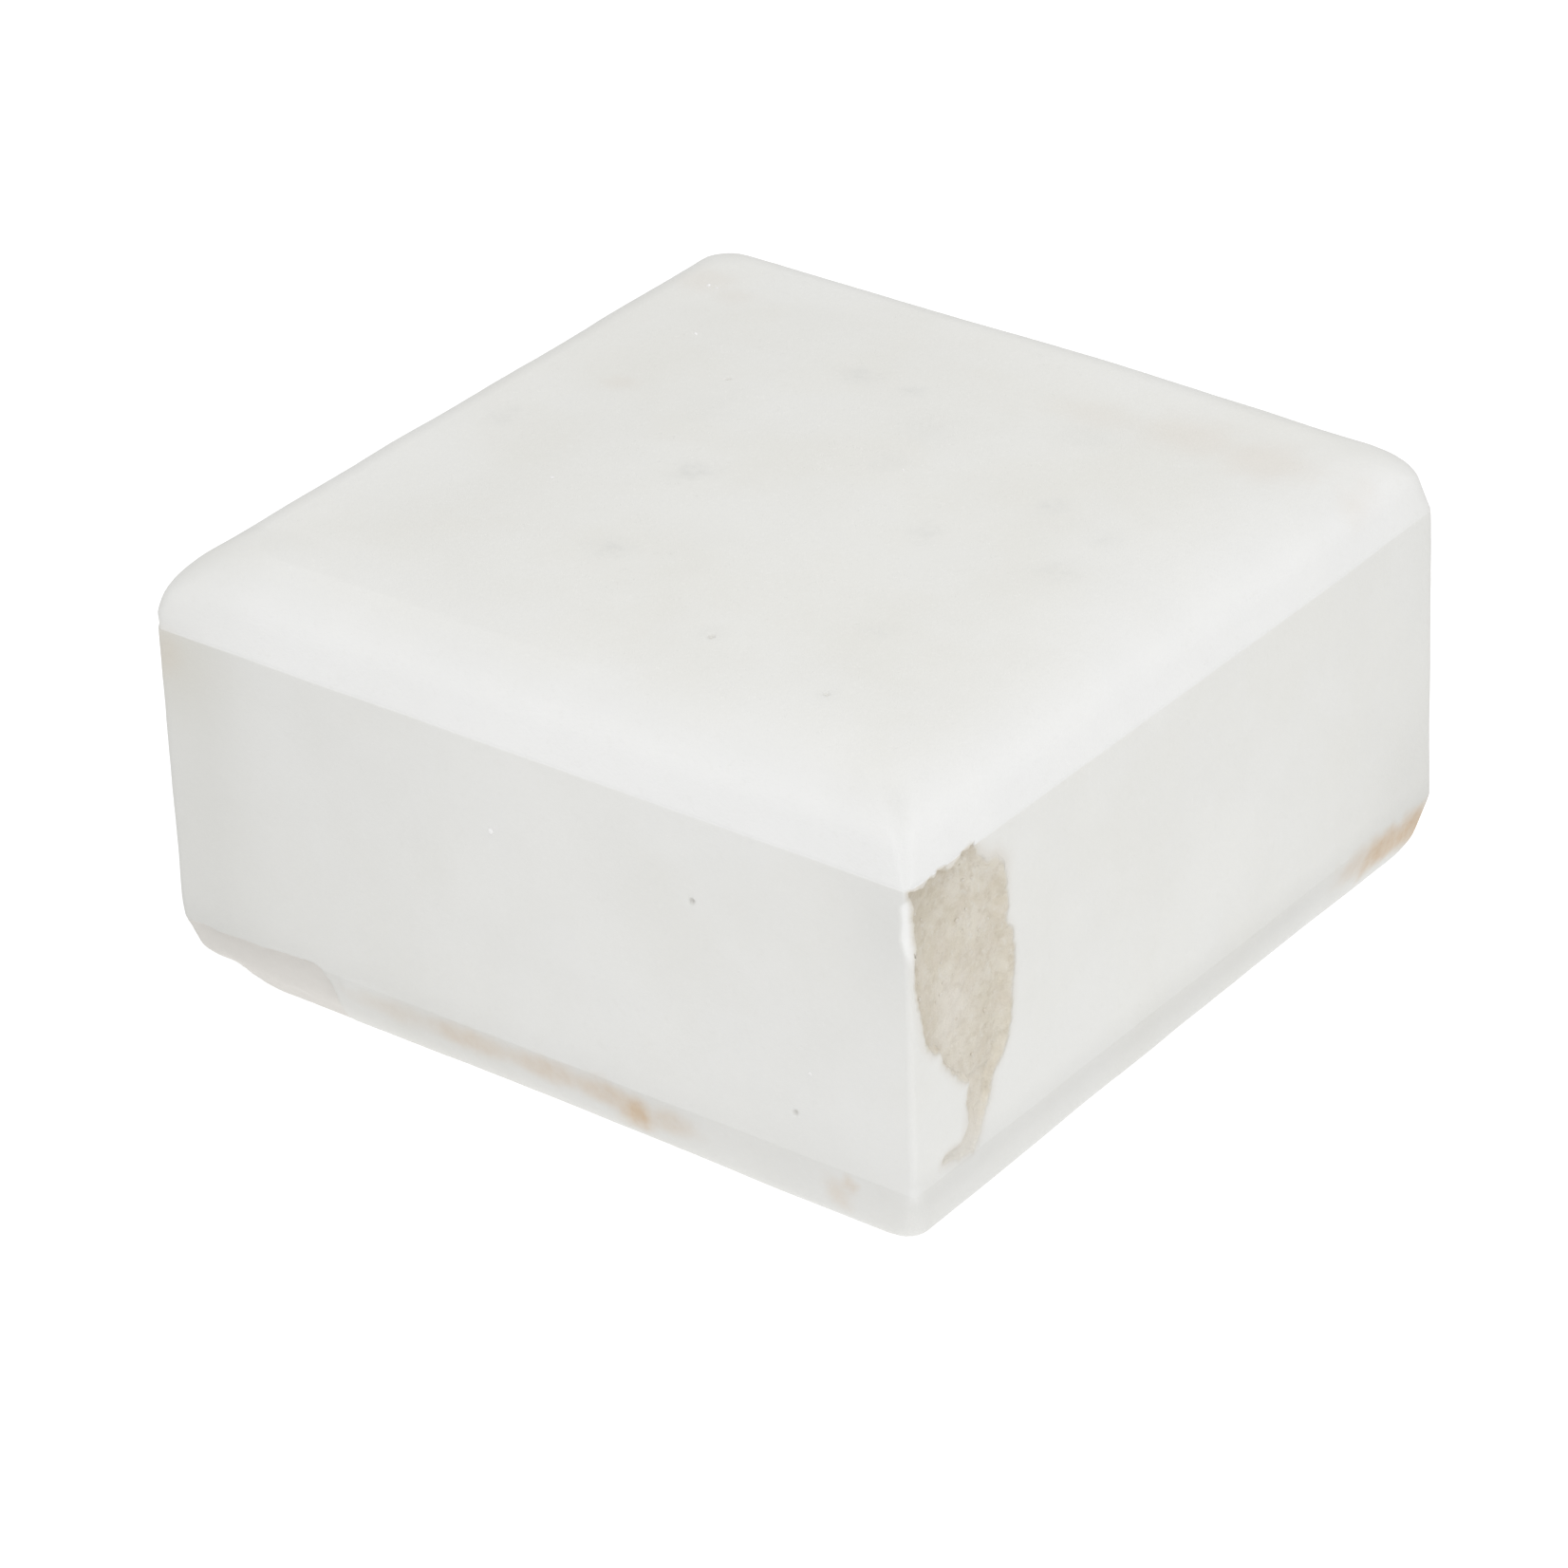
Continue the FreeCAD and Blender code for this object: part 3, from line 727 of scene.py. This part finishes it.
def powder_finish(g, colour, grain_strength=1.0, rubble=None):
    fine_grain = g.noise(0.34, 3.0, 0.62)
    micro = g.noise(0.11, 2.0, 0.6, 5.0)
    pores, _ = g.voronoi(0.62)
    pore = g.span(pores, 0.0, 0.16, 1.0, 0.0)
    pore_here = g.math("MULTIPLY", pore, g.span(g.noise(1.9, 2.0, 0.5, 9.0), 0.52, 0.66))
    h = g.math("ADD", g.math("MULTIPLY", fine_grain, 0.6), g.math("MULTIPLY", micro, 0.4))
    h = g.math("SUBTRACT", h, g.math("MULTIPLY", pore_here, 0.5))
    first = g.bump(h, 0.00010, 0.35 * grain_strength)
    if rubble is not None:
        first = g.bump(rubble, 0.00030, 0.55, first)
    g.put(g.shader.inputs["Normal"], first)
    g.put(g.shader.inputs["Base Color"], colour)
    g.put(g.shader.inputs["Roughness"], g.span(g.noise(0.9, 2.0, 0.5, 3.0), 0.3, 0.7, 0.86, 0.98))
    g.shader.inputs["Specular IOR Level"].default_value = 0.16
    g.shader.inputs["Sheen Weight"].default_value = 0.06
    g.shader.inputs["Sheen Roughness"].default_value = 0.6
    return pore_here


g = Nodes("pressed_chalk_powder")
cloud = g.span(g.noise(11.0, 3.0, 0.55, 2.0), 0.35, 0.65)
cool = g.span(g.noise(7.0, 2.0, 0.5, 31.0), 0.38, 0.62)
tone = g.mix(cloud, (0.762, 0.760, 0.734), (0.786, 0.785, 0.764))
# Painted light: the +X wall gets a paler colour than the front wall, for the way the light falls on it.
tone = g.mix(g.math("MULTIPLY", g.attr("right_wall_painted_light"), 0.8), tone, g.mix(cloud, (0.776, 0.773, 0.742), (0.798, 0.797, 0.772)))
# Painted shade: darker colour above the upper arris.
tone = g.mix(g.attr("painted_top_shade"), tone, g.mix(cloud, (0.734, 0.729, 0.695), (0.752, 0.749, 0.720)))
# Painted highlight: paler colour on the upper rim.
tone = g.mix(g.attr("painted_rim_light"), tone, g.mix(cloud, (0.822, 0.822, 0.812), (0.836, 0.836, 0.828)))
tone = g.mix(g.math("MULTIPLY", cool, 0.18), tone, (0.768, 0.772, 0.766))
# Painted shade on the lower rim.
tone = g.mix(g.math("MULTIPLY", g.attr("painted_under_shade"), 0.22), tone, (0.640, 0.622, 0.580))
fleck_noise = g.noise(0.55, 3.0, 0.6, 13.0)
tone = g.mix(g.span(fleck_noise, 0.56, 0.72, 0.0, 0.10), tone, (0.70, 0.69, 0.655))
tone = g.mix(g.span(g.noise(0.30, 2.0, 0.5, 41.0), 0.58, 0.72, 0.0, 0.12), tone, (0.84, 0.84, 0.83))
tone = g.mix(g.math("MULTIPLY", g.attr("grey"), g.span(g.noise(0.8, 3.0, 0.6, 17.0), 0.30, 0.70, 0.25, 1.0)), tone,
             (0.660, 0.662, 0.640))
# Painted shade towards the outer ends of the walls.
tone = g.mix(g.math("MULTIPLY", g.attr("painted_end_shade"), 0.70), tone, (0.690, 0.688, 0.660))
tone = g.mix(g.math("MULTIPLY", g.attr("tan"), 0.80), tone, (0.700, 0.655, 0.600))
tone = g.mix(g.math("MULTIPLY", g.attr("olive"), 0.55), tone, (0.655, 0.635, 0.570))
tone = g.mix(g.math("MULTIPLY", g.attr("chip"), 0.60), tone, (0.715, 0.680, 0.640))
stain_break = g.span(g.noise(0.9, 3.0, 0.62, 23.0), 0.30, 0.70, 0.75, 1.0)
stain_amount = g.math("MULTIPLY", g.attr("stain"), stain_break)
stain_colour = g.mix(g.span(g.noise(0.5, 2.0, 0.5, 27.0), 0.35, 0.65), (0.655, 0.503, 0.345), (0.618, 0.452, 0.292))
tone = g.mix(g.math("MULTIPLY", stain_amount, 0.92), tone, stain_colour)
# Rubbed chalk and painted highlight along the uprights.
tone = g.mix(g.math("MULTIPLY", g.attr("wear_and_highlight"), 0.8), tone, (0.870, 0.870, 0.862))
tone = g.mix(g.attr("halo"), tone, (0.640, 0.590, 0.520))
# Broken chalk inside the scar: beige and brown blotches, with paler grains, and painted shade in the deep upper-left
# recess.
scar_mix = g.mix(g.span(g.noise(2.3, 2.0, 0.55, 3.0), 0.36, 0.62), (0.694, 0.652, 0.562), (0.636, 0.584, 0.484))
scar_mix = g.mix(g.span(g.noise(1.1, 2.0, 0.55, 11.0), 0.40, 0.66, 0.0, 0.35), scar_mix, (0.670, 0.612, 0.545))
scar_mix = g.mix(g.math("MULTIPLY", g.attr("scar_dark_and_shade"), 0.75), scar_mix, (0.562, 0.510, 0.408))
scar_mix = g.mix(g.span(g.attr("scar_grain"), 0.35, 0.75, 0.0, 0.25), scar_mix, (0.715, 0.680, 0.612))
scar_mix = g.mix(g.span(g.noise(0.62, 3.0, 0.62, 19.0), 0.48, 0.68, 0.0, 0.44), scar_mix, (0.530, 0.473, 0.380))
scar_mix = g.mix(g.span(g.noise(0.36, 2.0, 0.5, 29.0), 0.58, 0.72, 0.0, 0.34), scar_mix, (0.725, 0.705, 0.655))
scar_mix = g.mix(g.math("MULTIPLY", g.attr("scar_pale"), 0.50), scar_mix, (0.745, 0.708, 0.650))
tone = g.mix(g.attr("scar"), tone, scar_mix)
# Painted shade inside the pinholes.
tone = g.mix(g.math("MULTIPLY", g.attr("pit_shade"), 0.50), tone, (0.520, 0.505, 0.465))
# Painted shade: darkens the colour on the shoulders, the near mitre, the lower rim and parts of the walls.
tone = g.mix(g.attr("painted_shade"), tone, (0.0, 0.0, 0.0))
powder_finish(g, tone, rubble=g.math("MULTIPLY", g.noise(0.70, 4.0, 0.62, 37.0), g.attr("scar")))
block.data.materials.append(g.material)

c = Nodes("broken_chalk_grain")
ct = c.mix(c.attr("tone"), (0.650, 0.602, 0.515), (0.735, 0.708, 0.655))
ct = c.mix(c.span(c.noise(0.16, 2.0, 0.6, 7.0), 0.45, 0.65, 0.0, 0.3), ct, (0.600, 0.550, 0.465))
powder_finish(c, ct, 0.8)
crumbs.data.materials.append(c.material)

w = Nodes("white_chalk_fleck")
wt = w.mix(w.span(w.noise(0.18, 2.0, 0.6, 7.0), 0.35, 0.65), (0.820, 0.815, 0.805), (0.860, 0.858, 0.850))
powder_finish(w, wt, 0.8)
flecks.data.materials.append(w.material)

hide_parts("pressed_block")
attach(block, "root")
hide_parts("clinging_crumbs")
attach(crumbs, "root")
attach(flecks, "root")

# ------------------------------------------------------------------------------ floor and light
floor_mesh = bpy.data.meshes.new("floor")
floor_mesh.from_pydata([(-3, -3, 0), (3, -3, 0), (3, 3, 0), (-3, 3, 0)], [], [(0, 1, 2, 3)])
floor = bpy.data.objects.new("floor", floor_mesh)
bpy.context.scene.collection.objects.link(floor)
f = Nodes("pale_floor")
f.put(f.shader.inputs["Base Color"], (0.35, 0.35, 0.35))
f.shader.inputs["Emission Color"].default_value = (1.0, 1.0, 1.0, 1.0)
f.shader.inputs["Emission Strength"].default_value = 0.80
f.shader.inputs["Roughness"].default_value = 0.9
f.shader.inputs["Specular IOR Level"].default_value = 0.1
floor.data.materials.append(f.material)

world = bpy.data.worlds.new("studio")
world.use_nodes = True
world.node_tree.nodes["Background"].inputs[0].default_value = (1.0, 1.0, 1.0, 1.0)
world.node_tree.nodes["Background"].inputs[1].default_value = 0.48
bpy.context.scene.world = world

centre = Vector((0, 0, H / 2 * MM))


def softbox(name, azimuth, elevation, distance, size, power):
    """A square lamp aimed at the block; azimuth 0 is in front of it, 90 on its right."""
    az, el = math.radians(azimuth), math.radians(elevation)
    back = Vector((math.sin(az) * math.cos(el), -math.cos(az) * math.cos(el), math.sin(el)))
    lamp = bpy.data.lights.new(name, "AREA")
    lamp.shape = "SQUARE"
    lamp.size = size
    lamp.energy = power
    o = bpy.data.objects.new(name, lamp)
    o.location = centre + back * distance
    o.rotation_euler = back.to_track_quat("Z", "Y").to_euler()
    bpy.context.scene.collection.objects.link(o)
    return o


softbox("key", 50, 38, 0.9, 0.7, 0.6)
softbox("overhead", 50, 72, 1.0, 0.9, 7.0)

# --------------------------------------------------------------------------------------- camera
AZ, EL, ROLL = math.radians(37.856), math.radians(29.855), math.radians(-1.987)
back = Vector((math.sin(AZ) * math.cos(EL), -math.cos(AZ) * math.cos(EL), math.sin(EL)))
right = Vector((math.cos(AZ), math.sin(AZ), 0))
up = back.cross(right)
cam_x = right * math.cos(ROLL) + up * math.sin(ROLL)
cam_y = up * math.cos(ROLL) - right * math.sin(ROLL)
target = Vector((3.718, -7.346, 13.8)) * MM
eye = target + back * 358.01 * MM
camera = bpy.data.cameras.new("camera")
camera.sensor_width = 36.0
camera.lens = 6891.9 / 1652.0 * 36.0
camera.clip_start = 0.01
camera.clip_end = 20.0
cam = bpy.data.objects.new("camera", camera)
cam.matrix_world = Matrix(((cam_x.x, cam_y.x, back.x, eye.x),
                           (cam_x.y, cam_y.y, back.y, eye.y),
                           (cam_x.z, cam_y.z, back.z, eye.z),
                           (0, 0, 0, 1)))
bpy.context.scene.collection.objects.link(cam)
bpy.context.scene.camera = cam
bpy.context.scene.view_settings.view_transform = "Standard"
